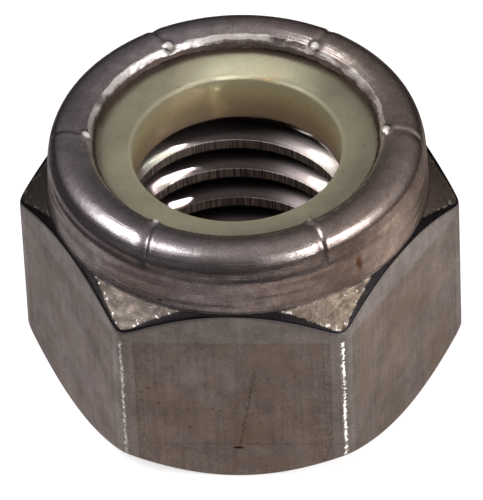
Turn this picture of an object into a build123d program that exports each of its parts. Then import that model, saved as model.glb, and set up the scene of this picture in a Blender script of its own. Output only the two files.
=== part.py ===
from build123d import *
import math
import os

os.makedirs("parts", exist_ok=True)

# Nylon insert lock nut, 1/2 inch with 13 turns to the inch, in millimetres.
# The bolt's axis is Z, the bearing face lies on Z = 0, and two corners of the hexagon lie on X.

# Hexagon
across_flats = 19.05        # spanner size, 3/4 inch
corner_radius = 1.0         # rounding of the six upright corners
flat_height = 10.9          # bearing face to the shoulder, at the middle of a flat
shoulder_angle = 41.0       # fall of the turned shoulder towards the corners, degrees
bearing_diameter = 18.75    # flat ring that the nut is tightened on
base_angle = 45.0           # turned chamfer from the bearing face to the corners, degrees
edge_radius = 0.35          # rounding where a turned cone meets a flat

# Hole for the bolt, at the crests of its thread
bore_diameter = 10.8
entry_diameter = 13.3       # countersink in the bearing face
entry_angle = 45.0
lead_diameter = 12.9        # countersink in the seat of the ring
lead_angle = 30.0

# Collar that holds the ring: a thin upright wall, bent in and rolled over at its top
seat_height = 10.57         # floor that the ring sits on
collar_diameter = 18.62     # outside, where the wall begins to bend in
collar_taper = 2.0          # the wall leans in by this much, degrees
collar_wall = 0.82
foot_radius = 0.4           # hollow fillet between the shoulder and the wall
bend_height = 12.8          # where the wall begins to bend in
bend_radius = 3.0
bend_turn = 18.0            # first, wide part of the bend, degrees
roll_radius = 1.12
roll_turn = 92.0            # second, tight part of the bend, degrees
rim_diameter = 14.55        # upper edge of the rolled rim
rim_reach = 0.355           # how much further in the rim's blunt nose reaches
rim_angle = 54.0            # slope from that edge down to the nose, degrees

# Crimp marks: short grooves pressed across the rolled rim, one at each corner
mark_count = 6
mark_width = 0.5
mark_depth = 0.16
mark_start = 12.0           # lean of the wall at which a mark begins, degrees

# Nylon ring
insert_bore_diameter = 10.4
insert_gap = 0.04           # between the ring and the collar rolled over it
insert_rim_radius = 0.25    # rounding of the ring's upper inner edge

corner_reach = across_flats / math.cos(math.radians(30)) / 2
turning_allowance = 1.0     # the blank is turned this much wider than its corners
blank_radius = corner_reach + turning_allowance
bar_length = bend_height + bend_radius + roll_radius


def outside_start(inset):
    """Point where the wall begins to bend in, moved inwards by inset along the wall's normal."""
    lean = math.radians(collar_taper)
    return Vector(
        collar_diameter / 2 - inset * math.cos(lean),
        bend_height - inset * math.sin(lean),
    )


def wall_point(inset, height):
    """Point of the leaning wall at a height, inset from its outer face."""
    start = outside_start(inset)
    rise = start.Y - height
    return Vector(start.X + rise * math.tan(math.radians(collar_taper)), height)


def bend_curves(inset):
    """The two tangent arcs of the rolled top, inset from the outer face."""
    first = JernArc(
        outside_start(inset),
        Vector(0, 1).rotate(Axis.Z, collar_taper),
        bend_radius - inset,
        bend_turn,
    )
    second = JernArc(first @ 1, first % 1, roll_radius - inset, roll_turn)
    return first, second


def straight_to_radius(curve, radius):
    """Straight piece that leaves a curve's end along its direction and stops at a radius."""
    start = curve @ 1
    direction = curve % 1
    length = (radius - start.X) / direction.X
    return Line(start, start + direction * length)


def turned_section():
    """Half section of the nut as a turned blank, before the six flats are cut."""
    rim_radius = rim_diameter / 2
    bearing_radius = bearing_diameter / 2
    bore_radius = bore_diameter / 2
    entry_radius = entry_diameter / 2
    lead_radius = lead_diameter / 2
    base_rise = (blank_radius - bearing_radius) * math.tan(math.radians(base_angle))
    shoulder_fall = math.tan(math.radians(shoulder_angle))
    edge_height = flat_height - (blank_radius - across_flats / 2) * shoulder_fall

    # the shoulder cone runs in to the wall, whose lean is small enough to take at the flat's height
    foot_reach = wall_point(0, flat_height).X
    foot = wall_point(0, flat_height + (across_flats / 2 - foot_reach) * shoulder_fall)

    outer_bend, outer_roll = bend_curves(0)
    lip_top = straight_to_radius(outer_roll, rim_radius)
    rim_drop = rim_reach * math.tan(math.radians(rim_angle))
    nose = lip_top @ 1 - Vector(rim_reach, rim_drop)

    inner_bend, inner_roll = bend_curves(collar_wall)
    lip_under = straight_to_radius(inner_roll, rim_radius)

    entry_depth = (entry_radius - bore_radius) * math.tan(math.radians(entry_angle))
    lead_depth = (lead_radius - bore_radius) * math.tan(math.radians(lead_angle))

    base = Polyline(
        (bore_radius, entry_depth),
        (entry_radius, 0),
        (bearing_radius, 0),
        (blank_radius, base_rise),
        (blank_radius, edge_height),
        foot,
        outside_start(0),
    )
    rim = Polyline(lip_top @ 1, nose, lip_under @ 1)
    seat = Polyline(
        outside_start(collar_wall),
        wall_point(collar_wall, seat_height),
        (lead_radius, seat_height),
        (bore_radius, seat_height - lead_depth),
        (bore_radius, entry_depth),
    )
    outline = base + outer_bend + outer_roll + lip_top + rim + lip_under + inner_roll + inner_bend + seat
    section = make_face(outline.edges())
    return fillet(nearest_vertex(section, foot), foot_radius)


def nearest_vertex(shape, point):
    return shape.vertices().sort_by_distance(point)[0]


def hexagon_bar():
    """Upright hexagonal bar with rounded corners, two of them on X."""
    outline = RegularPolygon(corner_reach, 6)
    outline = fillet(outline.vertices(), corner_radius)
    return extrude(outline, bar_length)


def crimp_mark():
    """Cutter for one mark: the skin of the rolled rim, as deep and as wide as the mark."""
    outer_bend, outer_roll = bend_curves(-mark_depth)
    inner_bend, inner_roll = bend_curves(mark_depth)
    share = (mark_start - collar_taper) / bend_turn
    outer_bend = outer_bend.trim(share, 1)
    inner_bend = inner_bend.trim(share, 1)
    rim_nose_radius = rim_diameter / 2 - rim_reach
    outer_end = straight_to_radius(outer_roll, rim_nose_radius)
    inner_end = straight_to_radius(inner_roll, rim_nose_radius)
    ends = Line(inner_bend @ 0, outer_bend @ 0) + Line(outer_end @ 1, inner_end @ 1)
    outline = outer_bend + outer_roll + outer_end + ends + inner_end + inner_roll + inner_bend
    skin = Plane.XZ * make_face(outline.edges())
    return extrude(skin, mark_width / 2, both=True)


def nut_body():
    blank = revolve(Plane.XZ * turned_section(), Axis.Z)
    body = blank & hexagon_bar()
    body = soften_edges(body)
    for turn in range(mark_count):
        body -= Rot(0, 0, turn * 360 / mark_count) * crimp_mark()
    return body


def soften_edges(body):
    """Rounds the curved edges where the two turned cones cross the bar's sides."""
    crossings = [edge for edge in body.edges() if edge.geom_type not in (GeomType.LINE, GeomType.CIRCLE)]
    return fillet(crossings, edge_radius)


def nylon_insert():
    """Ring that fills the groove up to the lowest edge of the rolled lip."""
    inset = collar_wall + insert_gap
    bore_radius = insert_bore_diameter / 2
    bend, roll = bend_curves(inset)
    lip_under = straight_to_radius(roll, rim_diameter / 2)
    top = (lip_under @ 1).Y
    sides = Polyline(
        lip_under @ 1,
        (bore_radius, top),
        (bore_radius, seat_height),
        wall_point(inset, seat_height),
        outside_start(inset),
    )
    room = make_face((bend + roll + lip_under + sides).edges())
    below_top = Pos(0, top) * Rectangle(collar_diameter, collar_diameter, align=(Align.CENTER, Align.MAX))
    section = room & below_top
    section = fillet(nearest_vertex(section, Vector(bore_radius, top)), insert_rim_radius)
    return revolve(Plane.XZ * section, Axis.Z)


for name, shape in (("nut_body", nut_body()), ("nylon_insert", nylon_insert())):
    export_step(shape, f"parts/{name}.step")
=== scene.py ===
"""Nylon insert lock nut, dressed for looks.

Metres, in the frame of the CAD: the bolt's axis is Z, the bearing face lies on Z = 0,
and two corners of the hexagon lie on X.
"""

import math

import bpy
from mathutils import Matrix, Vector, noise

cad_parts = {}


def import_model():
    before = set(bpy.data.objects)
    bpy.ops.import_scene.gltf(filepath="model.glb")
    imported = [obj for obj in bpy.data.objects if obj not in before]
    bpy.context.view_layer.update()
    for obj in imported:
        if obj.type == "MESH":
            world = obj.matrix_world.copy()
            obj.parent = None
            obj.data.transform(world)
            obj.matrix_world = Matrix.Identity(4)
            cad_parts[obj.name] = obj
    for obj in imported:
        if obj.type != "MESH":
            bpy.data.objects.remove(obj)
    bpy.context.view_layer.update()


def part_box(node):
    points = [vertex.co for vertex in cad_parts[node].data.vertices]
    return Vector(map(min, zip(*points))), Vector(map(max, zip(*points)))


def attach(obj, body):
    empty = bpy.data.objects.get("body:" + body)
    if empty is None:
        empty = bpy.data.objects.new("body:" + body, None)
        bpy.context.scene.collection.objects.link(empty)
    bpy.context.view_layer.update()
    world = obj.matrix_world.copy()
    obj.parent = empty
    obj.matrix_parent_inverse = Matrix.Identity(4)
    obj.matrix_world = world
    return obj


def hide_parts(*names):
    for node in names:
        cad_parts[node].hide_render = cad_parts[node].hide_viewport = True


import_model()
nut_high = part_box("nut_body")[1]
ring_low, ring_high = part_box("nylon_insert")

MM = 0.001

# -------- sizes of the nut

FLAT = nut_high.y                       # axis to a flat
CORNER = nut_high.x                     # axis to a rounded corner
FLAT_TOP = 10.9 * MM                    # shoulder at the middle of a flat
SHOULDER_ANGLE = 41                     # degrees, from the level down to the shoulder's cone
SHOULDER_SLOPE = math.tan(math.radians(SHOULDER_ANGLE))
SHOULDER_ROUND = 0.45 * MM              # softened edge between flat and shoulder
BEARING = 9.375 * MM                    # radius of the flat face that the nut is tightened on
BASE_ROUND = 0.35 * MM                  # softened edge between flat and lower chamfer
FOOT_ROUND = 0.25 * MM                  # hollow where the collar stands on the shoulder
HOLDING_LOOP = 0.2 * MM                 # an extra ring of points this far from a softened edge

SEAT = ring_low.z                       # floor that the ring sits on
BEND_HEIGHT = 12.8 * MM                 # where the collar's wall begins to bend in
WALL_RADIUS = 9.31 * MM                 # its radius there
WALL_LEAN = 2.0                         # degrees
WALL_THICK = 0.82 * MM
BEND_RADIUS = 3.0 * MM                  # first arc of the lip, wide
BEND_TURN = 18.0                        # degrees
ROLL_RADIUS = 1.12 * MM                 # second arc, tight
ROLL_TURN = 92.0
RIM_RADIUS = 7.275 * MM                 # upper edge of the lip's bevelled end
NOSE_REACH = 0.355 * MM                 # bevel, inwards and down
NOSE_DROP = 0.49 * MM

PITCH = 25.4 / 13 * MM                  # 13 turns to the inch
CREST = 5.4 * MM                        # radius at the thread's crests
THREAD_DEPTH = 0.86 * MM
FLANK_ANGLE = 30                        # degrees to the level, of the lower flank
UPPER_FLANK = (42, 34, 32, 31, 31, 30, 29, 23)      # the same of the upper one, from its worn crest out
CREST_LAND = 0.53 * MM                  # height of a crest's flat
ENTRY = 6.65 * MM                       # countersink in the bearing face, 45 degrees
LEAD = 6.45 * MM                        # countersink in the seat
LEAD_SLOPE = math.tan(math.radians(30))     # of its cone

THREAD_PHASE = 0.015 * MM               # height of a crest's lower edge in the direction of +X
THREAD_STEPS = 240                      # in one turn
THREAD_TURNS = 9                        # enough to pass both faces of the nut
MERGE = 1e-7                            # points this near are one

MARK_OFF_CORNER = (1.2, 0.6, 0.2, 0.4, 1.7, 0.9)    # degrees, of the crimp marks, from +X round
MARK_SHARE = (0.6, 0.6, 0.7, 0.5, 1.0, 1.0)         # how deep each of them is pressed
BEAD_SHARE = (1, 1, 1, 1, 0.8, 0.6)     # how far each one's bead stands up
MARK_DEPTH = 0.09 * MM                  # of the deepest, across the rolled rim
MARK_SLOPE = 0.32 * MM                  # reach of a mark's long side
MARK_BACK = 0.13 * MM                   # reach of its steep side
MARK_STEP = 0.05 * MM                   # how far the rolled rim stands out beside a mark
STEP_LENGTH = 1.1 * MM                  # distance in which that step fades
MARK_SLANT = 0.25                       # how much a mark may slant on its way across the rim
MARK_PIVOT = 8 * MM                     # radius at which a slanting mark keeps its place
RIDGE_SHARE = 0.2                       # height of the ridge behind a mark's steep side, to its depth
RIDGE_PLACE = 2.4 * MARK_BACK
MARK_END = (7.4 * MM, 7.8 * MM)         # radii between which a mark begins, inside on the rim
MARK_FOOT = (12.9 * MM, 13.7 * MM)      # heights between which it begins, outside on the lip
BEAD_HEIGHT = 0.17 * MM                 # of the bead pinched up at the rim's end in a mark
BEAD_REACH = 0.26 * MM
RIM_WEAR = 0.05 * MM                    # unevenness of the rim's torn end
RIM_LUMP = 0.5 * MM                     # size of its lumps
RIM_GRAIN = 0.17 * MM                   # and of the finer ones on them

# Steps and degrees in a sixth of the turn: across a mark, beside it, along a flat, before the next mark.
SECTOR = ((20, 4.0), (8, 3.2), (46, 49.6), (8, 3.2))

MOUTH_RING = 0.3 * MM                   # width of the flat ring round a countersink, filled last


# -------- small helpers

def deselect_all():
    for thing in bpy.context.selected_objects:
        thing.select_set(False)


def make_active(thing):
    deselect_all()
    thing.select_set(True)
    bpy.context.view_layer.objects.active = thing


def mode(name):
    bpy.ops.object.mode_set(mode=name)


def edit_all():
    mode("EDIT")
    bpy.ops.mesh.select_all(action="SELECT")


def angle_of(point):
    return math.atan2(point.y, point.x)


def around(radius, angle, height):
    return Vector((radius * math.cos(angle), radius * math.sin(angle), height))


def arc(centre, radius, start, turn, steps):
    """Points of an arc in the plane of a section, from start through turn degrees."""
    points = []
    for step in range(steps + 1):
        angle = math.radians(start + turn * step / steps)
        points.append((centre[0] + radius * math.cos(angle), centre[1] + radius * math.sin(angle)))
    return points


def draw_to(points, end, steps):
    """Carries an outline on in a straight line to an end, by evenly spaced points."""
    start = points[-1]
    for step in range(1, steps + 1):
        share = step / steps
        points.append((start[0] + (end[0] - start[0]) * share, start[1] + (end[1] - start[1]) * share))


def extrude_outline(name, points):
    """An open outline in the XZ plane, drawn by extruding one vertex from point to point."""
    deselect_all()
    bpy.ops.mesh.primitive_plane_add(size=MM, location=(points[0][0], 0, points[0][1]))
    piece = bpy.context.object
    piece.name = name
    edit_all()
    bpy.ops.mesh.merge(type="CENTER")
    for start, end in zip(points, points[1:]):
        step = (end[0] - start[0], 0, end[1] - start[1])
        bpy.ops.mesh.extrude_region_move(TRANSFORM_OT_translate={"value": step})
    mode("OBJECT")
    bpy.ops.object.transform_apply(location=True, rotation=True, scale=True)
    return piece


def number_points(piece, attribute):
    """Gives each point of an outline its place in the order, which a spin copies along."""
    layer = piece.data.attributes.new(attribute, "INT", "POINT")
    for vertex in piece.data.vertices:
        layer.data[vertex.index].value = vertex.index


# -------- section of the nut

def hexagon_reach(angle):
    """Distance from the axis to the hexagon's side in a direction; two flats flow into one at a corner."""
    half = math.radians(30)
    sharpness = math.log(2) / math.log(FLAT / (math.cos(half) * CORNER))
    off_corner = abs((angle + half) % math.radians(60) - half)
    near = math.cos(half - off_corner) ** sharpness
    far = math.cos(half + off_corner) ** sharpness
    return FLAT / (near + far) ** (1 / sharpness)


def collar_foot():
    """Where the collar's wall would meet the shoulder's cone."""
    radius = WALL_RADIUS + (BEND_HEIGHT - FLAT_TOP) * math.tan(math.radians(WALL_LEAN))
    return radius, FLAT_TOP + (FLAT - radius) * SHOULDER_SLOPE


def foot_arc():
    """Hollow from the shoulder's cone into the collar's wall."""
    foot = collar_foot()
    lean = math.radians(WALL_LEAN)
    turn = 90 - SHOULDER_ANGLE
    cut = FOOT_ROUND * math.tan(math.radians(turn - WALL_LEAN) / 2)
    wall = (foot[0] - cut * math.sin(lean), foot[1] + cut * math.cos(lean))
    centre = (wall[0] + FOOT_ROUND * math.cos(lean), wall[1] + FOOT_ROUND * math.sin(lean))
    return arc(centre, FOOT_ROUND, 180 + turn, WALL_LEAN - turn, 4)


def hexagon_outline(reach):
    """Section of the hexagon where its side is at reach: chamfer, side and shoulder."""
    chamfer_top = reach - BEARING
    shoulder_start = FLAT_TOP - (reach - FLAT) * SHOULDER_SLOPE
    foot = foot_arc()[0]

    half_base = math.radians(45) / 2
    base_cut = min(BASE_ROUND * math.tan(half_base), 0.9 * chamfer_top)
    base_radius = base_cut / math.tan(half_base)
    base_arc = arc((reach - base_radius, chamfer_top + base_cut), base_radius, -45, 45, 5)

    turn = 90 - SHOULDER_ANGLE
    half_top = math.radians(turn) / 2
    most_of_cone = (reach - foot[0]) / math.cos(math.radians(SHOULDER_ANGLE)) * 0.8
    top_cut = min(SHOULDER_ROUND * math.tan(half_top), most_of_cone)
    top_radius = top_cut / math.tan(half_top)
    top_arc = arc((reach - top_radius, shoulder_start - top_cut), top_radius, 0, turn, 6)

    points = [(BEARING, 0)]
    draw_to(points, base_arc[0], 5)
    points += base_arc[1:]
    draw_to(points, (reach, points[-1][1] + HOLDING_LOOP), 1)
    draw_to(points, (reach, top_arc[0][1] - HOLDING_LOOP), 10)
    draw_to(points, top_arc[0], 1)
    points += top_arc[1:]
    draw_to(points, foot, 7)
    return points


def lip_arcs(inset, bend_steps, roll_steps):
    """Bend and roll of the collar's wall, inset from its outer face."""
    lean = math.radians(WALL_LEAN)
    start = (WALL_RADIUS - inset * math.cos(lean), BEND_HEIGHT - inset * math.sin(lean))
    bend_radius = BEND_RADIUS - inset
    bend_centre = (start[0] - bend_radius * math.cos(lean), start[1] - bend_radius * math.sin(lean))
    bend = arc(bend_centre, bend_radius, WALL_LEAN, BEND_TURN, bend_steps)
    turned = math.radians(WALL_LEAN + BEND_TURN)
    roll_radius = ROLL_RADIUS - inset
    end = bend[-1]
    roll_centre = (end[0] - roll_radius * math.cos(turned), end[1] - roll_radius * math.sin(turned))
    roll = arc(roll_centre, roll_radius, WALL_LEAN + BEND_TURN, ROLL_TURN, roll_steps)
    return bend, roll


def slope_to(point, radius):
    """Where the lip's straight end, leaving a point of its roll, reaches a radius."""
    fall = math.tan(math.radians(WALL_LEAN + BEND_TURN + ROLL_TURN - 90))
    return radius, point[1] - (point[0] - radius) * fall


def collar_outline():
    """From the collar's foot up its wall, over the rolled lip and down inside to the seat."""
    foot = foot_arc()
    bend, roll = lip_arcs(0, 8, 26)
    points = foot[1:]
    draw_to(points, bend[0], 12)
    points += bend[1:] + roll[1:]
    rim = slope_to(points[-1], RIM_RADIUS)
    draw_to(points, rim, 5)
    draw_to(points, (rim[0] - NOSE_REACH, rim[1] - NOSE_DROP), 5)
    inner_bend, inner_roll = lip_arcs(WALL_THICK, 4, 6)
    draw_to(points, slope_to(inner_roll[-1], RIM_RADIUS), 2)
    draw_to(points, inner_roll[-1], 1)
    points += inner_roll[-2::-1] + inner_bend[-2::-1]
    groove = inner_bend[0][0] + (inner_bend[0][1] - SEAT) * math.tan(math.radians(WALL_LEAN))
    draw_to(points, (groove, SEAT), 2)
    draw_to(points, (LEAD + MOUTH_RING, SEAT), 2)
    return points


# -------- body of the nut

# Stations: places in the body's outline, counted from the countersink.
HEXAGON_START = 1
SIDE_START = HEXAGON_START + 8
SHOULDER_START = HEXAGON_START + 25
COLLAR_START = HEXAGON_START + 36

# Places in the collar's outline, counted from its foot.
LIP_TOP = 40                            # about the lip's highest point
RIM_PLACE = 54                          # edge of the rim
NOSE_PLACE = 59                         # end of its bevel


def turned_blank():
    """The nut as turned, before its flats: one section spun round the axis, closest at corners and marks."""
    section = [(ENTRY + MOUTH_RING, 0)]
    section += hexagon_outline(hexagon_reach(0))
    section += collar_outline()
    body = extrude_outline("nut_body_dressed", section)
    number_points(body, "station")
    edit_all()
    half_mark = math.radians(SECTOR[0][1] / 2)
    bpy.ops.transform.rotate(value=half_mark, orient_axis="Z", center_override=(0, 0, 0))
    for steps, degrees in SECTOR * 6:
        turn = -math.radians(degrees)
        bpy.ops.mesh.spin(steps=steps, angle=turn, center=(0, 0, 0), axis=(0, 0, 1))
    bpy.ops.mesh.select_all(action="SELECT")
    bpy.ops.mesh.remove_doubles(threshold=MERGE)
    mode("OBJECT")
    return body


def points_at(body, start, first, last):
    """Points of the body, and their places in an outline that begins at a station, from first to last."""
    station = body.data.attributes["station"].data
    for vertex in body.data.vertices:
        place = station[vertex.index].value - start
        if first <= place <= last:
            yield vertex, place


def lengths_along(outline, start):
    """Distance of each point of an outline from one of them, along the outline, negative before it."""
    total = 0
    lengths = []
    for place, point in enumerate(outline):
        if place:
            total += math.dist(point, outline[place - 1])
        lengths.append(total)
    return [length - lengths[start] for length in lengths]


def cut_flats(body):
    """Brings the blank's sides in to the six flats.

    Each point notes how far it is from its flat's middle and from the shoulder's outer edge.
    """
    for name in ("from_middle", "up_shoulder"):
        body.data.attributes.new(name, "FLOAT", "POINT")
    from_middle = body.data.attributes["from_middle"].data
    up_shoulder = body.data.attributes["up_shoulder"].data
    sections = {}
    for vertex, place in points_at(body, HEXAGON_START, 0, COLLAR_START - HEXAGON_START - 1):
        angle = angle_of(vertex.co)
        direction = round(math.degrees(angle), 3)
        if direction not in sections:
            outline = hexagon_outline(hexagon_reach(angle))
            sections[direction] = outline, lengths_along(outline, SHOULDER_START - HEXAGON_START)
        outline, lengths = sections[direction]
        radius, height = outline[place]
        vertex.co = around(radius, angle, height)
        off_middle = angle % math.radians(60) - math.radians(30)
        from_middle[vertex.index].value = abs(radius * math.sin(off_middle)) / MM
        up_shoulder[vertex.index].value = lengths[place] / MM


def outward(outline, place):
    """Direction out of the metal at a point of an outline."""
    ahead = outline[place + 1]
    behind = outline[place - 1]
    step = Vector((ahead[0] - behind[0], ahead[1] - behind[1])).normalized()
    return step.y, -step.x


def smooth(value, low, high):
    """Share that rises softly from 0 at low to 1 at high."""
    share = min(max((value - low) / (high - low), 0), 1)
    return share * share * (3 - 2 * share)


def mark_profile(offset):
    """Depth of a crimp mark beside its deepest line, as a share, and how far the rim steps out there."""
    reach = MARK_SLOPE if offset < 0 else MARK_BACK
    depth = math.exp(-(offset / reach) ** 2)
    depth -= RIDGE_SHARE * math.exp(-((offset - RIDGE_PLACE) / MARK_BACK) ** 2)
    step = math.exp(-abs(offset) / STEP_LENGTH) * smooth(-offset, -MARK_BACK, MARK_SLOPE)
    return depth, step


def press_marks(body):
    """Six marks of the crimping tool over the rolled rim, each a little different."""
    outline = collar_outline()
    beads = body.data.attributes.new("bead", "FLOAT", "POINT").data
    bead_place = outline[RIM_PLACE - 1]
    for vertex, place in points_at(body, COLLAR_START, 1, NOSE_PLACE + 1):
        angle = angle_of(vertex.co)
        turn = round(math.degrees(angle) / 60)
        index = turn % 6
        radius, height = outline[place]
        offset = radius * math.radians(math.degrees(angle) - turn * 60 - MARK_OFF_CORNER[index])
        offset += MARK_SLANT * (radius - MARK_PIVOT) * math.sin(index * 2.4 + 1)
        depth, step = mark_profile(offset)
        strength = MARK_SHARE[index] * smooth(radius, *MARK_END)
        if place < LIP_TOP:
            strength *= smooth(height, *MARK_FOOT)
        out, up = outward(outline, place)
        away = math.dist(outline[place], bead_place)
        bead = BEAD_SHARE[index] * math.exp(-(offset ** 2 + away ** 2) / BEAD_REACH ** 2)
        moved = BEAD_HEIGHT * bead - depth * MARK_DEPTH * strength
        radius += out * moved + max(out, 0) * step * MARK_STEP * strength
        height += up * moved
        vertex.co = around(radius, angle, height)
        beads[vertex.index].value = bead


def wear_rim(body):
    """Leaves the end of the rolled rim uneven, as it tore when the lip was rolled in."""
    start = RIM_PLACE - 3
    for vertex, place in points_at(body, COLLAR_START, start + 1, NOSE_PLACE + 1):
        coarse = noise.noise(vertex.co / RIM_LUMP)
        fine = noise.noise(vertex.co / RIM_GRAIN + Vector((7, 0, 0)))
        shift = RIM_WEAR * smooth(place, start, NOSE_PLACE) * (coarse + 0.8 * fine)
        radius = math.hypot(vertex.co.x, vertex.co.y)
        vertex.co = around(radius + shift, angle_of(vertex.co), vertex.co.z + 0.5 * shift)


def zone_materials(body):
    """Each zone of the body gets its own finish: bearing face, sides, shoulders and collar."""
    for finish in (faced_steel(), drawn_steel(), scaled_steel(), turned_steel(), cut_steel()):
        body.data.materials.append(finish)
    station = body.data.attributes["station"].data
    for face in body.data.polygons:
        place = min(station[index].value for index in face.vertices)
        face.material_index = sum(place >= first for first in (SIDE_START, SHOULDER_START, COLLAR_START))


def thread_tube():
    """The hole's wall with its right-hand thread, from one pitch of its outline screwed upwards."""
    flank = THREAD_DEPTH * math.tan(math.radians(FLANK_ANGLE))
    root = CREST + THREAD_DEPTH
    start = THREAD_PHASE - math.ceil(2 + THREAD_PHASE / PITCH) * PITCH
    points = [(CREST, start)]
    draw_to(points, (CREST, start + CREST_LAND), 2)
    step = THREAD_DEPTH / len(UPPER_FLANK)
    for slope in UPPER_FLANK:
        radius, height = points[-1]
        points.append((radius + step, height + step * math.tan(math.radians(slope))))
    draw_to(points, (root, start + PITCH - flank), 2)
    draw_to(points, (CREST, start + PITCH), 6)
    tube = extrude_outline("thread", points)
    screw = tube.modifiers.new("screw", "SCREW")
    screw.axis = "Z"
    screw.angle = math.radians(360)
    screw.screw_offset = PITCH
    screw.iterations = THREAD_TURNS
    screw.steps = screw.render_steps = THREAD_STEPS
    bpy.ops.object.modifier_apply(modifier=screw.name)
    return tube


def trim_thread(tube):
    """Opens the thread's ends out to the two countersinks and stops it at the nut's faces."""
    for vertex in tube.data.vertices:
        height = min(max(vertex.co.z, 0), SEAT)
        entry = ENTRY - height
        lead = LEAD - (SEAT - height) / LEAD_SLOPE
        radius = max(math.hypot(vertex.co.x, vertex.co.y), entry, lead)
        if height != vertex.co.z:
            radius = ENTRY if height == 0 else LEAD
        vertex.co = around(radius, angle_of(vertex.co), height)
    edit_all()
    bpy.ops.mesh.remove_doubles(threshold=2 * MERGE)
    bpy.ops.mesh.dissolve_degenerate(threshold=2 * MERGE)
    mode("OBJECT")
    tube.data.materials.append(bpy.data.materials["tapped_stainless_steel"])


def select_mouth(body, height, low, high):
    """Selects the open edges that lie at a height between two radii."""
    mode("EDIT")
    bpy.ops.mesh.select_mode(type="EDGE")
    bpy.ops.mesh.select_all(action="DESELECT")
    bpy.ops.mesh.select_non_manifold(
        extend=False, use_wire=False, use_multi_face=False, use_non_contiguous=False, use_verts=False)
    mode("OBJECT")
    for edge in body.data.edges:
        if edge.select:
            ends = [body.data.vertices[index].co for index in edge.vertices]
            level = all(abs(end.z - height) < 10 * MERGE for end in ends)
            inside = all(low < math.hypot(end.x, end.y) < high for end in ends)
            edge.select = level and inside
    mode("EDIT")


def join_thread(body, tube):
    """Joins the threaded wall to the body and fills the narrow rings between them."""
    make_active(body)
    tube.select_set(True)
    bpy.ops.object.join()
    margin = 0.1 * MM
    for height, mouth in ((0, ENTRY), (SEAT, LEAD)):
        select_mouth(body, height, mouth - margin, mouth + MOUTH_RING + margin)
        bpy.ops.mesh.fill(use_beauty=False)
        mode("OBJECT")
    mode("EDIT")
    bpy.ops.mesh.select_mode(type="VERT")
    bpy.ops.mesh.select_all(action="SELECT")
    bpy.ops.mesh.normals_make_consistent(inside=False)
    mode("OBJECT")


# -------- nylon ring

RING_BORE = 5.16 * MM
RING_GAP = 0.04 * MM                    # between the ring and the collar
RING_EDGE = 0.2 * MM                    # softened upper inner edge
RING_FOOT = 0.15 * MM                   # softened lower inner edge
RING_BEVEL = 0.12 * MM                  # softened upper outer edge


def ring_outline():
    """Section of the ring, from its lower inner edge round the outside to the upper inner edge."""
    inset = WALL_THICK + RING_GAP
    bend = lip_arcs(inset, 12, 4)[0]
    wall = bend[0][0] + (bend[0][1] - SEAT) * math.tan(math.radians(WALL_LEAN))
    top = ring_high.z
    upper = [point for point in bend if point[1] < top - 0.02 * MM]
    shoulder = (upper[-1][0] - RING_BEVEL, top)
    points = arc((RING_BORE + RING_FOOT, SEAT + RING_FOOT), RING_FOOT, 180, 90, 4)
    draw_to(points, (wall, SEAT), 8)
    draw_to(points, upper[0], 6)
    points += upper[1:]
    draw_to(points, shoulder, 1)
    edge = arc((RING_BORE + RING_EDGE, top - RING_EDGE), RING_EDGE, 90, 90, 6)
    draw_to(points, edge[0], 14)
    points += edge[1:]
    draw_to(points, points[0], 8)
    return points[:-1]


def nylon_ring():
    """The ring, its closed section spun round the axis."""
    ring = extrude_outline("nylon_ring", ring_outline())
    edit_all()
    bpy.ops.mesh.edge_face_add()
    bpy.ops.mesh.delete(type="ONLY_FACE")
    bpy.ops.mesh.select_all(action="SELECT")
    bpy.ops.mesh.spin(steps=180, angle=math.radians(360), center=(0, 0, 0), axis=(0, 0, 1))
    bpy.ops.mesh.select_all(action="SELECT")
    bpy.ops.mesh.remove_doubles(threshold=MERGE)
    bpy.ops.mesh.normals_make_consistent(inside=False)
    mode("OBJECT")
    return ring


# -------- materials

# Settings of nodes that are needed often.
COLOURS = {"data_type": "RGBA"}
SOFT = {"interpolation_type": "SMOOTHSTEP"}
TIMES = {"operation": "MULTIPLY"}
TIMES_PLUS = {"operation": "MULTIPLY_ADD"}
MINUS = {"operation": "SUBTRACT"}
LENGTH = {"operation": "LENGTH"}
NEAR_TO = {"operation": "COMPARE"}      # 1 within a distance of a value

# A Mix node's inputs have names that are not unique, so they go by their places.
SHARE = 0
NUMBER_A, NUMBER_B = 2, 3
COLOUR_A, COLOUR_B = 6, 7


def colour(code):
    """sRGB hex to linear."""
    values = []
    for start in (0, 2, 4):
        part = int(code[start:start + 2], 16) / 255
        values.append(part / 12.92 if part <= 0.04045 else ((part + 0.055) / 1.055) ** 2.4)
    return (*values, 1.0)


def between_colours(first, second):
    return {COLOUR_A: colour(first), COLOUR_B: colour(second)}


def node(tree, kind, settings=None, values=None, links=None, output=None):
    """Adds a node with its settings, its inputs' values and what is linked to its inputs.

    Gives the output asked for or, with none asked for, the first that the settings leave in use.
    """
    made = tree.nodes.new("ShaderNode" + kind)
    for name, value in (settings or {}).items():
        setattr(made, name, value)
    for name, value in (values or {}).items():
        made.inputs[name].default_value = value
    for name, source in (links or {}).items():
        tree.links.new(source, made.inputs[name])
    if output:
        return made.outputs[output]
    return next((found for found in made.outputs if found.enabled), None)


def combined(tree, operation, first, *others):
    """Several values joined one after the other by the same operation."""
    for other in others:
        first = node(tree, "Math", {"operation": operation}, links={0: first, 1: other})
    return first


def weighted(tree, parts, total=None):
    """Patterns added up, each by its weight, onto a total if there is one."""
    for pattern, weight in parts:
        if total:
            total = node(tree, "Math", TIMES_PLUS, {1: weight}, {0: pattern, 2: total})
        else:
            total = node(tree, "Math", TIMES, {1: weight}, {0: pattern})
    return total


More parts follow.
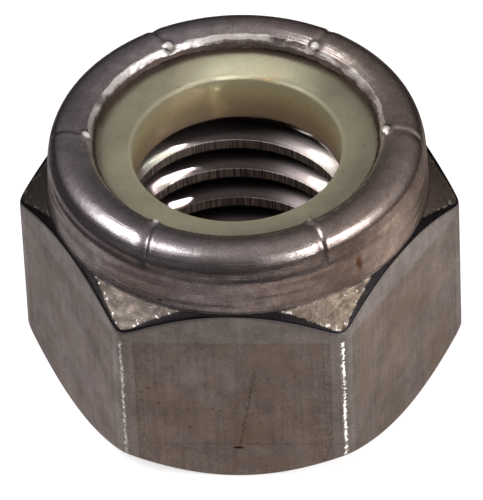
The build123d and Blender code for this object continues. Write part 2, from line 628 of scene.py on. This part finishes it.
def layered(tree, tone, layers):
    """Colours laid over a tone one after the other, each by its share."""
    for code, share in layers:
        tone = node(tree, "Mix", COLOURS, {COLOUR_B: colour(code)}, {SHARE: share, COLOUR_A: tone})
    return tone


def two_tones(tree, place, share, first, second):
    """Two tones that each go from one colour to another by a share. The second takes over by place."""
    tones = [node(tree, "Mix", COLOURS, between_colours(*ends), {SHARE: share}) for ends in (first, second)]
    return node(tree, "Mix", COLOURS, links={SHARE: place, COLOUR_A: tones[0], COLOUR_B: tones[1]})


def new_material(name):
    material = bpy.data.materials.new(name)
    material.use_nodes = True
    material.node_tree.nodes.clear()
    return material, material.node_tree


def in_millimetres(tree):
    """Object coordinates counted in millimetres, whole and as their X, Y and Z."""
    place = node(tree, "TexCoord", output="Object")
    spot = node(tree, "VectorMath", {"operation": "SCALE"}, {"Scale": 1000}, {0: place})
    return spot, node(tree, "SeparateXYZ", links={0: spot}).node.outputs


def off_axis(tree, ways):
    """Distance from the bolt's axis."""
    flat = node(tree, "CombineXYZ", links={"X": ways["X"], "Y": ways["Y"]})
    return node(tree, "VectorMath", LENGTH, links={0: flat})


def tool_rings(tree, across, size, detail=1):
    """Fine grooves that a tool left round the axis, a different height at each place across them."""
    rings = node(tree, "CombineXYZ", links=across)
    return node(tree, "TexNoise", {}, {"Scale": 1 / size, "Detail": detail}, {"Vector": rings})


def finish_metal(tree, tone, gloss, relief, bared_and_highlight=None):
    """Closes a metal's tree: its colour, its roughness, and its relief as a height in millimetres.

    Where it is torn or worn, its grain scatters light as a pale matt surface does; the same share carries
    painted highlights.
    """
    bump = node(tree, "Bump", {}, {"Distance": MM}, {"Height": relief})
    links = {"Base Color": tone, "Roughness": gloss, "Normal": bump}
    if bared_and_highlight:
        links["Metallic"] = node(tree, "MapRange", {}, {"To Min": 1.0, "To Max": 0.3}, {"Value": bared_and_highlight})
    shader = node(tree, "BsdfPrincipled", {}, {"Metallic": 1.0}, links)
    node(tree, "OutputMaterial", links={"Surface": shader})


def faced_steel():
    """Stainless steel faced on a lathe: fine rings round the axis."""
    material, tree = new_material("faced_stainless_steel")
    spot, ways = in_millimetres(tree)
    cut = tool_rings(tree, {"X": off_axis(tree, ways), "Y": ways["Z"]}, 0.12, 2)
    blotch = node(tree, "TexNoise", {}, {"Scale": 1 / 1.6, "Detail": 5}, {"Vector": spot})
    tone = node(tree, "Mix", COLOURS, between_colours("a39a94", "cdc6c1"), {SHARE: blotch})
    gloss = node(tree, "MapRange", {}, {"To Min": 0.45, "To Max": 0.25}, {"Value": blotch})
    finish_metal(tree, tone, gloss, weighted(tree, ((cut, 0.004),)))
    return material


def drawn_steel():
    """Sides of drawn hexagonal bar: dull, faintly streaked upwards, rubbed at the corners, with a painted
    highlight there.
    """
    material, tree = new_material("drawn_stainless_steel")
    spot, ways = in_millimetres(tree)
    across = node(tree, "Attribute", {"attribute_name": "from_middle"}, output="Fac")
    askew = node(tree, "Mapping", {}, {"Rotation": (0.6, 0.5, 0.4)}, {"Vector": spot})
    drawn = node(tree, "Mapping", {}, {"Scale": (1 / 0.2, 1 / 0.2, 1 / 4)}, {"Vector": spot})
    blotch = node(tree, "TexNoise", {}, {"Scale": 1 / 2.0, "Detail": 6, "Roughness": 0.66}, {"Vector": askew})
    grain = node(tree, "TexNoise", {}, {"Scale": 1 / 0.12, "Detail": 3, "Roughness": 0.6}, {"Vector": spot})
    nicks = node(tree, "TexNoise", {}, {"Scale": 1 / 0.25, "Detail": 3, "Roughness": 0.5}, {"Vector": spot})
    streak = node(tree, "TexNoise", {}, {"Scale": 1, "Detail": 3}, {"Vector": drawn})

    mixed = weighted(tree, ((grain, 0.55), (streak, 0.35)), blotch)
    share = node(tree, "MapRange", {}, {"From Min": 0.76, "From Max": 1.16}, {"Value": mixed})
    below = node(tree, "MapRange", SOFT, {"From Min": 9.3, "From Max": 9.1}, {"Value": ways["Z"]})
    wander = weighted(tree, ((blotch, 0.12),), across)
    ragged = weighted(tree, ((nicks, 0.3),), across)
    # Pale stripe on the worn corners, with a painted highlight on it.
    worn_and_highlight = node(tree, "MapRange", SOFT, {"From Min": 5.41, "From Max": 5.57}, {"Value": ragged})
    worn_and_highlight = combined(tree, "MULTIPLY", worn_and_highlight, below)

    specks = node(tree, "TexVoronoi", {}, {"Scale": 1 / 0.9, "Randomness": 1.0}, {"Vector": spot})
    speck = node(tree, "MapRange", {}, {"From Min": 0.1, "From Max": 0.06, "To Max": 0.45}, {"Value": specks})
    # Laid over the flat's tone: painted shade along the panel's edge, the worn corners' painted highlight,
    # marks and specks.
    tone = layered(tree, panelled(tree, share, wander, below, askew), (
        ("887565", panel_edge_shade(tree, wander, grain, below)),
        ("e9e2dc", worn_and_highlight),
        ("2c2420", front_marks(tree, spot, ways, nicks)),
        ("4a3a33", speck)))

    gloss = node(tree, "MapRange", {}, {
        "From Min": 0.3, "From Max": 0.7, "To Min": 0.5, "To Max": 0.34}, {"Value": blotch})
    gloss = node(tree, "Mix", {}, {NUMBER_B: 0.32}, {SHARE: worn_and_highlight, NUMBER_A: gloss})
    relief = weighted(tree, ((grain, 0.003), (streak, 0.002)))
    dents = weighted(tree, ((ways["Z"], 4.5), (nicks, 0.4)))
    dents = node(tree, "Math", {"operation": "FRACT"}, links={0: dents})
    dented = weighted(tree, ((worn_and_highlight, -0.16),))
    relief = node(tree, "Math", TIMES_PLUS, links={0: dents, 1: dented, 2: relief})
    finish_metal(tree, tone, gloss, relief, weighted(tree, ((worn_and_highlight, 0.4),)))
    return material


def panelled(tree, share, wander, below, askew):
    """Tone of a flat: a pale border that is a painted reflection of the softened edges, and inside it a
    darker panel that is browned by oil in parts.
    """
    inside = node(tree, "MapRange", SOFT, {"From Min": 4.6, "From Max": 4.35}, {"Value": wander})
    inside = combined(tree, "MULTIPLY", inside, below)
    border_reflection = node(tree, "Mix", COLOURS, between_colours("a6a29f", "cecbca"), {SHARE: share})
    panel = node(tree, "Mix", COLOURS, between_colours("978d8b", "c4bcb9"), {SHARE: share})
    oil = node(tree, "TexNoise", {}, {
        "Scale": 1 / 2.8, "Detail": 4, "Roughness": 0.7, "Distortion": 0.6}, {"Vector": askew})
    oil = node(tree, "MapRange", {}, {"From Min": 0.45, "From Max": 0.65, "To Max": 0.6}, {"Value": oil})
    panel = layered(tree, panel, (("ab9e89", oil),))
    return node(tree, "Mix", COLOURS, links={SHARE: inside, COLOUR_A: border_reflection, COLOUR_B: panel})


def panel_edge_shade(tree, wander, grain, below):
    """Painted shade in patches along the panel's edge."""
    band = node(tree, "Math", NEAR_TO, {1: 4.66, 2: 0.2}, {0: wander})
    patchy = node(tree, "MapRange", {}, {"From Min": 0.4, "From Max": 0.62, "To Max": 0.7}, {"Value": grain})
    return combined(tree, "MULTIPLY", band, patchy, below)


def front_marks(tree, spot, ways, nicks):
    """Dark marks on one flat: a seam of the bar, a pit at its foot and a faint line across."""
    line = node(tree, "Math", NEAR_TO, {1: 2.33, 2: 0.04}, {0: ways["Z"]})
    line = weighted(tree, ((line, 0.18),))
    mark = combined(tree, "MAXIMUM", seam(tree, ways, nicks), pit(tree, spot), line)
    front = node(tree, "Math", {"operation": "LESS_THAN"}, {1: -9.45}, {0: ways["Y"]})
    return combined(tree, "MULTIPLY", mark, front)


def seam(tree, ways, nicks):
    """A hairline seam of the bar, slanting up one flat."""
    slant = node(tree, "Math", TIMES_PLUS, {1: 0.164, 2: -0.38}, {0: ways["Z"]})
    beside = combined(tree, "SUBTRACT", ways["X"], weighted(tree, ((nicks, 0.5),), slant))
    beside = node(tree, "Math", {"operation": "ABSOLUTE"}, links={0: beside})
    line = node(tree, "MapRange", {}, {"From Min": 0.07, "From Max": 0.0, "To Max": 0.5}, {"Value": beside})
    top = node(tree, "MapRange", {}, {"From Min": 8.2, "From Max": 7.0}, {"Value": ways["Z"]})
    bottom = node(tree, "Math", {"operation": "GREATER_THAN"}, {1: 2.0}, {0: ways["Z"]})
    return combined(tree, "MULTIPLY", line, top, bottom)


def pit(tree, spot):
    """A small flat pit at the seam's foot."""
    near = node(tree, "VectorMath", MINUS, {1: (0.12, -9.525, 2.07)}, {0: spot})
    near = node(tree, "VectorMath", TIMES, {1: (0.3, 1, 1)}, {0: near})
    reach = node(tree, "VectorMath", LENGTH, links={0: near})
    return node(tree, "MapRange", SOFT, {"From Min": 0.12, "From Max": 0.03}, {"Value": reach})


def scaled_steel():
    """Shoulders as turned and never cleaned: dark heat scale, finely pitted, with small bright spots that are
    partly painted glints.
    """
    material, tree = new_material("scaled_stainless_steel")
    spot, ways = in_millimetres(tree)
    across = node(tree, "Attribute", {"attribute_name": "from_middle"}, output="Fac")
    up = node(tree, "Attribute", {"attribute_name": "up_shoulder"}, output="Fac")
    lump = node(tree, "TexNoise", {}, {"Scale": 1 / 0.5, "Detail": 4, "Roughness": 0.6}, {"Vector": spot})
    grain = node(tree, "TexNoise", {}, {"Scale": 1 / 0.21, "Detail": 3, "Roughness": 0.6}, {"Vector": spot})
    share = node(tree, "MapRange", {}, {"From Min": 0.3, "From Max": 0.7}, {"Value": lump})
    # Darker at the left, lighter and warmer at the right: painted light from the brighter side.
    right = node(tree, "MapRange", {}, {"From Min": -2, "From Max": 2}, {"Value": ways["X"]})
    tone = two_tones(tree, right, share, ("574e4b", "7c726a"), ("685c54", "978979"))

    # Along the shoulder's outer edge: a dark band, a painted dark reflection, and pale bare spots with
    # painted glints.
    inward = node(tree, "Math", TIMES_PLUS, {1: -0.12, 2: 0.82}, {0: across})
    past = weighted(tree, ((lump, 0.3),), combined(tree, "SUBTRACT", up, inward))
    edge = node(tree, "MapRange", SOFT, {"From Min": 0.2, "From Max": 0.08}, {"Value": past})
    glint = node(tree, "MapRange", {}, {"From Min": 0.7, "From Max": 0.15, "To Max": 0.12}, {"Value": past})
    glint = combined(tree, "ADD", glint, grain)
    bare_and_glint = node(tree, "MapRange", {}, {"From Min": 0.68, "From Max": 0.74}, {"Value": glint})
    tone = layered(tree, tone, (("e6e0da", bare_and_glint), ("2d292b", edge)))

    gloss = node(tree, "MapRange", {}, {"To Min": 0.54, "To Max": 0.36}, {"Value": share})
    finish_metal(tree, tone, gloss, weighted(tree, ((lump, 0.035), (grain, 0.007))))
    return material


def turned_steel():
    """Collar turned, then rolled in: glossy, with faint lathe rings, small dents, grime and painted shade in
    its corners, and a painted highlight on its torn rim.
    """
    material, tree = new_material("turned_stainless_steel")
    spot, ways = in_millimetres(tree)
    radius = off_axis(tree, ways)
    wave = node(tree, "TexNoise", {}, {"Scale": 1 / 2.0, "Detail": 2}, {"Vector": spot})
    blotch = node(tree, "TexNoise", {}, {"Scale": 1 / 0.9, "Detail": 6, "Roughness": 0.65}, {"Vector": spot})
    grain = node(tree, "TexNoise", {}, {"Scale": 1 / 0.13, "Detail": 3, "Roughness": 0.6}, {"Vector": spot})
    chatter = node(tree, "Mapping", {}, {"Scale": (0.1, 0.1, 1.8)}, {"Vector": spot})
    chatter = node(tree, "TexNoise", {}, {"Scale": 1, "Detail": 0}, {"Vector": chatter})
    slow = weighted(tree, ((ways["X"], 0.03),))
    cut = tool_rings(tree, {"X": radius, "Y": ways["Z"], "Z": slow}, 0.05)

    share = weighted(tree, ((grain, 0.6),), blotch)
    share = node(tree, "MapRange", {}, {"From Min": 0.62, "From Max": 0.98}, {"Value": share})
    # Warmer and a little lighter towards the right: painted light from the brighter side.
    right = node(tree, "MapRange", {}, {"From Min": -2, "From Max": 6}, {"Value": ways["X"]})
    tone = two_tones(tree, right, share, ("a09799", "c9c2c4"), ("ab9b93", "d8c8be"))
    bead = node(tree, "Attribute", {"attribute_name": "bead"}, output="Fac")
    end = weighted(tree, ((blotch, 0.3), (bead, 0.6)), radius)
    # Torn rim and beads get a pale tone, torn metal with a painted highlight that is stronger at the back;
    # the corners get grime with painted shade.
    bared_and_highlight = torn_rim_and_highlight(tree, ways, wave, end, bead)
    grime_and_shade = corner_grime_and_shade(tree, ways, blotch, end)
    rust = combined(
        tree, "MAXIMUM",
        stain(tree, spot, blotch, (6.2, -7.0, 12.2), (0.24, 0.24, 0.6)),
        stain(tree, spot, blotch, (-3.4, -8.7, 11.3), (0.16, 0.16, 0.14)))
    tone = layered(tree, tone, (("efe9e4", bared_and_highlight), ("564a44", grime_and_shade), ("8a5a38", rust)))

    gloss = node(tree, "MapRange", {}, {
        "From Min": 0.3, "From Max": 0.7, "To Min": 0.33, "To Max": 0.23}, {"Value": blotch})
    gloss = node(tree, "Mix", {}, {NUMBER_B: 0.55}, {SHARE: grime_and_shade, NUMBER_A: gloss})
    relief = weighted(tree, ((wave, 0.05), (chatter, 0.12), (blotch, 0.018), (grain, 0.0025), (cut, 0.009)))
    finish_metal(tree, tone, gloss, relief, bared_and_highlight)
    return material


def corner_grime_and_shade(tree, ways, blotch, end):
    """Grime and painted shade where the collar stands on the shoulder, and under the rim where it meets the
    nylon.
    """
    low = weighted(tree, ((blotch, 0.3),), ways["Z"])
    foot = node(tree, "MapRange", SOFT, {"From Min": 11.28, "From Max": 11.1}, {"Value": low})
    gap = node(tree, "MapRange", SOFT, {"From Min": 7.25, "From Max": 7.19}, {"Value": end})
    return combined(tree, "MAXIMUM", foot, gap)


def torn_rim_and_highlight(tree, ways, wave, end, bead):
    """Bright torn metal with a painted highlight: in patches along the rim, more of it at the back, and on
    the beads.
    """
    edge = node(tree, "Math", NEAR_TO, {1: 7.38, 2: 0.1}, {0: end})
    patchy = node(tree, "MapRange", {}, {"From Min": 0.4, "From Max": 0.5}, {"Value": wave})
    back_for_painted_light = node(tree, "MapRange", {}, {"From Min": -1.5, "From Max": 3}, {"Value": ways["Y"]})
    bared_and_highlight = weighted(tree, ((combined(tree, "MULTIPLY", edge, patchy, back_for_painted_light), 0.8),))
    pinched_highlight = node(tree, "MapRange", {}, {"From Min": 0.4, "From Max": 0.7}, {"Value": bead})
    return combined(tree, "MAXIMUM", bared_and_highlight, pinched_highlight)


def stain(tree, spot, blotch, centre, reach):
    """Share of a small stain with a ragged edge, by its centre and its reach along X, Y and Z."""
    away = node(tree, "VectorMath", MINUS, {1: centre}, {0: spot})
    away = node(tree, "VectorMath", {"operation": "DIVIDE"}, {1: reach}, {0: away})
    away = weighted(tree, ((blotch, 1.6),), node(tree, "VectorMath", LENGTH, links={0: away}))
    return node(tree, "MapRange", {}, {"From Min": 1.9, "From Max": 1.2, "To Max": 0.85}, {"Value": away})


def cut_steel():
    """Thread as cut by the tap: bright flanks, painted shade at the back of the bore, crests scratched up and
    down.
    """
    material, tree = new_material("tapped_stainless_steel")
    spot, ways = in_millimetres(tree)
    radius = off_axis(tree, ways)
    crest = node(tree, "MapRange", {}, {
        "From Min": CREST / MM + 0.04, "From Max": CREST / MM + 0.01}, {"Value": radius})
    upright = node(tree, "Mapping", {}, {"Scale": (1 / 0.08, 1 / 0.08, 1 / 3)}, {"Vector": spot})
    scratch = node(tree, "TexNoise", {}, {"Scale": 1, "Detail": 4, "Roughness": 0.65}, {"Vector": upright})
    share = node(tree, "MapRange", {}, {"From Min": 0.4, "From Max": 0.6}, {"Value": scratch})
    tone = two_tones(tree, crest, share, ("958b85", "aaa19a"), ("8f807a", "f6eae4"))

    # The flanks at the back of the bore are darkened: painted shade.
    back_for_painted_light = node(tree, "MapRange", SOFT, {
        "From Min": 3.9, "From Max": 5.0, "To Max": 0.9}, {"Value": ways["Y"]})
    flank_shade = node(tree, "MapRange", {}, {"To Min": 1.0, "To Max": 0.1}, {"Value": crest})
    tone = layered(tree, tone, (("625a5b", combined(tree, "MULTIPLY", back_for_painted_light, flank_shade)),))
    gloss = node(tree, "MapRange", {}, {"To Min": 0.28, "To Max": 0.45}, {"Value": crest})
    slow = weighted(tree, ((ways["X"], 0.03),))
    rings = tool_rings(tree, {"X": radius, "Z": slow}, 0.05)
    height = node(tree, "Mix", links={SHARE: crest, NUMBER_A: rings, NUMBER_B: scratch})
    finish_metal(tree, tone, gloss, weighted(tree, ((height, 0.006),)))
    return material


def moulded_nylon():
    """Natural nylon, moulded: pale and waxy, ochre and darkening down the bore by painted shade, with specks
    of grime, and grime with painted shade along the lip.
    """
    material, tree = new_material("moulded_natural_nylon")
    spot, ways = in_millimetres(tree)
    radius = off_axis(tree, ways)
    cloud = node(tree, "TexNoise", {}, {"Scale": 1 / 2.6, "Detail": 4}, {"Vector": spot})
    fine = node(tree, "TexNoise", {}, {"Scale": 1 / 0.3, "Detail": 4, "Roughness": 0.7}, {"Vector": spot})
    specks = node(tree, "TexNoise", {}, {"Scale": 1 / 0.36, "Detail": 3, "Roughness": 0.6}, {"Vector": spot})
    mixed = weighted(tree, ((fine, 0.45),), cloud)
    mixed = node(tree, "MapRange", {}, {"From Min": 0.5, "From Max": 0.95}, {"Value": mixed})
    pale = node(tree, "Mix", COLOURS, between_colours("807b69", "98937c"), {SHARE: mixed})
    # Down the bore the tone darkens and browns: painted shade.
    bore = node(tree, "MapRange", {}, {"From Min": 5.4, "From Max": 5.2}, {"Value": radius})
    tone = node(tree, "Mix", COLOURS, links={SHARE: bore, COLOUR_A: pale, COLOUR_B: down_bore_shade(tree, ways)})

    # Darker towards the lip's edge: grime, and painted shade under the overhanging lip.
    edge = weighted(tree, ((fine, 0.45),), radius)
    dirt_and_shade = node(tree, "MapRange", SOFT, {"From Min": 6.95, "From Max": 7.32}, {"Value": edge})
    speck = node(tree, "MapRange", {}, {"From Min": 0.67, "From Max": 0.71}, {"Value": specks})
    speck = weighted(tree, ((speck, 0.6),))
    tone = layered(tree, tone, (("5a4b40", dirt_and_shade), ("4b3a28", speck)))

    bump = node(tree, "Bump", {}, {"Distance": MM}, {"Height": weighted(tree, ((fine, 0.006),))})
    gloss = node(tree, "MapRange", {}, {"To Min": 0.5, "To Max": 0.36}, {"Value": fine})
    skin = {"IOR": 1.53, "Subsurface Weight": 0.1, "Subsurface Radius": (1.0, 0.8, 0.5)}
    skin["Subsurface Scale"] = 0.6 * MM
    shader = node(tree, "BsdfPrincipled", {}, skin, {"Base Color": tone, "Roughness": gloss, "Normal": bump})
    node(tree, "OutputMaterial", links={"Surface": shader})
    return material


def down_bore_shade(tree, ways):
    """Tone of the nylon's bore, from its mouth down, darkening with depth as painted shade."""
    depth = node(tree, "MapRange", {}, {"From Min": 13.2, "From Max": 10.6}, {"Value": ways["Z"]})
    ramp = node(tree, "ValToRGB", links={0: depth})
    stops = ramp.node.color_ramp.elements
    stops[0].color = colour("a29c82")
    stops[1].color = colour("89745f")
    stops.new(0.3).color = colour("a59771")
    stops.new(0.65).color = colour("8c7b5f")
    return ramp


# -------- scene

CAMERA_PLACE = Vector((21.26, -286.62, 276.87)) * MM
CAMERA_LENS = 573.1                     # on a sensor 36 wide
VIEW_HEADING = -85.76                   # side that the nut is looked at from, degrees
VIEW_FALL = 43.26                       # degrees below the level
VIEW_ROLL = 2.666
PAPER = "f4f4f4"
PAPER_GLOW = 0.62                       # light added for the eye only, so that the nut's shade stays pale


def look_camera():
    """Long lens from above one side, a little turned, as the nut is seen."""
    data = bpy.data.cameras.new("camera")
    data.lens = CAMERA_LENS
    data.sensor_width = 36
    data.clip_start = 0.01
    data.clip_end = 10
    camera = bpy.data.objects.new("camera", data)
    bpy.context.scene.collection.objects.link(camera)
    heading = math.radians(VIEW_HEADING + 180)
    fall = math.radians(VIEW_FALL)
    roll = math.radians(VIEW_ROLL)
    forward = around(math.cos(fall), heading, -math.sin(fall))
    right = forward.cross(Vector((0, 0, 1))).normalized()
    up = right.cross(forward)
    rolled_right = right * math.cos(roll) - up * math.sin(roll)
    rolled_up = right * math.sin(roll) + up * math.cos(roll)
    turn = Matrix((rolled_right, rolled_up, -forward)).transposed()
    camera.matrix_world = Matrix.Translation(CAMERA_PLACE) @ turn.to_4x4()
    bpy.context.scene.camera = camera


def zone(tree, *sides, joined="MULTIPLY"):
    """Share of a zone. Each side fades softly in from a start to an end, in millimetres."""
    shares = []
    for value, start, end in sides:
        limits = {"From Min": start * MM, "From Max": end * MM}
        shares.append(node(tree, "MapRange", SOFT, limits, {"Value": value}))
    return combined(tree, joined, *shares)


def floor():
    """A sheet that is white paper to the eye, and duller in what the metal mirrors, where its tones are
    painted reflections.

    There it is warmer to the right, darker in a patch behind on the right and in a strip in front, dark from
    a distance on, and bright again in one round patch behind.
    """
    deselect_all()
    bpy.ops.mesh.primitive_plane_add(size=2.0, location=(0, 0, 0))
    ground = bpy.context.object
    ground.name = "floor"
    material, tree = new_material("white_paper")
    place = node(tree, "TexCoord", output="Object")
    ways = node(tree, "SeparateXYZ", links={0: place}).node.outputs
    right = zone(tree, (ways["X"], -14, 30))
    patch = zone(tree, (ways["Y"], 1, 10), (ways["X"], 4, 12))
    strip = zone(tree, (ways["Y"], -6, -12), (ways["Y"], -22, -19), joined="MINIMUM")
    tone = node(tree, "Mix", COLOURS, between_colours("beb8b6", "e4d8ce"), {SHARE: right})
    tone = layered(tree, tone, (("8f867f", patch), ("9b8e87", strip)))
    camera = node(tree, "LightPath", output="Is Camera Ray")
    tone = layered(tree, far_tone(tree, place, ways, tone), ((PAPER, camera),))
    paper = node(tree, "BsdfDiffuse", links={"Color": tone})
    glow = node(tree, "Emission", links={"Strength": weighted(tree, ((camera, PAPER_GLOW),))})
    both = node(tree, "AddShader", links={0: paper, 1: glow})
    node(tree, "OutputMaterial", links={"Surface": both})
    ground.data.materials.append(material)


def far_tone(tree, place, ways, tone):
    """The sheet's tone in painted reflections, dark from a distance on that is larger to the right, with a
    bright patch behind.
    """
    rightward = node(tree, "Math", {"operation": "MAXIMUM"}, {1: 0}, {0: ways["X"]})
    away = weighted(tree, ((rightward, -0.35),), node(tree, "VectorMath", LENGTH, links={0: place}))
    near = node(tree, "MapRange", SOFT, {
        "From Min": 22.5 * MM, "From Max": 30 * MM, "To Min": 1.0, "To Max": 0.0}, {"Value": away})
    tone = node(tree, "Mix", COLOURS, {COLOUR_A: colour("3c373a")}, {SHARE: near, COLOUR_B: tone})
    behind = node(tree, "VectorMath", MINUS, {1: (-4 * MM, 34 * MM, 0)}, {0: place})
    behind = node(tree, "VectorMath", LENGTH, links={0: behind})
    return layered(tree, tone, ((PAPER, zone(tree, (behind, 20, 8))),))


def world():
    """Dim room: lighter overhead and at the right, darker low in front and behind. White to the eye."""
    made = bpy.data.worlds.new("studio")
    bpy.context.scene.world = made
    made.use_nodes = True
    tree = made.node_tree
    tree.nodes.clear()
    way = node(tree, "TexCoord", output="Generated")
    height = node(tree, "SeparateXYZ", links={0: way}, output="Z")
    # How far a direction leans to the eye's side, away from it, and to the right.
    parts = []
    for turn, side in ((0, "MAXIMUM"), (0, "MINIMUM"), (90, "MAXIMUM")):
        ahead = around(1, math.radians(VIEW_HEADING + turn), 0)
        part = node(tree, "VectorMath", {"operation": "DOT_PRODUCT"}, {1: ahead}, {0: way})
        parts.append(node(tree, "Math", {"operation": side}, {1: 0}, {0: part}))
    ahead, behind, aside = parts
    beside = node(tree, "Math", TIMES_PLUS, links={0: aside, 1: behind, 2: aside})

    light = node(tree, "MapRange", {}, {"From Max": 0.6, "To Min": 0.17, "To Max": 0.28}, {"Value": height})
    overhead = node(tree, "MapRange", {}, {
        "From Min": 0.82, "From Max": 0.95, "To Max": 0.08}, {"Value": height})
    light = combined(tree, "ADD", light, overhead)
    dimming = node(tree, "MapRange", {}, {
        "From Min": 0.45, "To Min": -0.14, "To Max": 0.0}, {"Value": height})
    light = node(tree, "Math", TIMES_PLUS, links={0: ahead, 1: dimming, 2: light})
    light = weighted(tree, ((behind, 0.16), (beside, 0.2)), light)
    room = node(tree, "Background", {}, {"Color": colour("fff5f5")}, {"Strength": light})
    white = node(tree, "Background", {}, {"Color": colour("ffffff")})
    camera = node(tree, "LightPath", output="Is Camera Ray")
    seen = node(tree, "MixShader", links={0: camera, 1: room, 2: white})
    node(tree, "OutputWorld", links={"Surface": seen})


NUT_MIDDLE = (0, 0, 0.012)              # what the soft boxes are aimed at
BOX_DISTANCE = 0.25
BEAM_SPREAD = 3.2                       # degrees


def lamp_place(turn, rise):
    """A soft box's place, by its angles from the side that the nut is looked at from."""
    rise = math.radians(rise)
    height = BOX_DISTANCE * math.sin(rise) + NUT_MIDDLE[2]
    return around(BOX_DISTANCE * math.cos(rise), math.radians(VIEW_HEADING + turn), height)


def softbox(name, place, target, size, power, spread=180):
    """A rectangular soft light aimed at a point, its size as width and height."""
    data = bpy.data.lights.new(name, "AREA")
    data.shape = "RECTANGLE"
    data.size, data.size_y = size
    data.energy = power
    data.spread = math.radians(spread)
    lamp = bpy.data.objects.new(name, data)
    bpy.context.scene.collection.objects.link(lamp)
    lamp.location = place
    lamp.rotation_euler = (Vector(target) - Vector(place)).to_track_quat("-Z", "Y").to_euler()


def lamps():
    """Three soft boxes round the nut, and two small lamps whose narrow beams reach the bore's thread only."""
    softbox("right_box", lamp_place(53, 27), NUT_MIDDLE, (0.21, 0.1), 0.36)
    softbox("left_box", lamp_place(-83, 55), NUT_MIDDLE, (0.15, 0.09), 0.24)
    softbox("left_low_box", lamp_place(-75, 34), NUT_MIDDLE, (0.18, 0.08), 0.1)
    right_place, right_target = (0.0267, 0.0045, 0.0589), (-0.0029, 0.0046, 0.0075)
    softbox("into_bore_right", right_place, right_target, (0.0042, 0.0044), 0.00011, BEAM_SPREAD)
    left_place, left_target = (-0.03, 0.0048, 0.0572), (0.0036, 0.0042, 0.0075)
    softbox("into_bore_left", left_place, left_target, (0.002, 0.0016), 0.0000028, BEAM_SPREAD)


# -------- the pieces and their stage

def smooth_by_angle(piece, degrees):
    make_active(piece)
    bpy.ops.object.shade_smooth_by_angle(angle=math.radians(degrees))


body = turned_blank()
cut_flats(body)
press_marks(body)
wear_rim(body)
zone_materials(body)
tube = thread_tube()
trim_thread(tube)
join_thread(body, tube)
smooth_by_angle(body, 31)
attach(body, "root")
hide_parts("nut_body")

ring = nylon_ring()
smooth_by_angle(ring, 40)
ring.data.materials.append(moulded_nylon())
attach(ring, "root")
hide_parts("nylon_insert")

look_camera()
floor()
world()
lamps()
bpy.context.scene.view_settings.view_transform = "Standard"
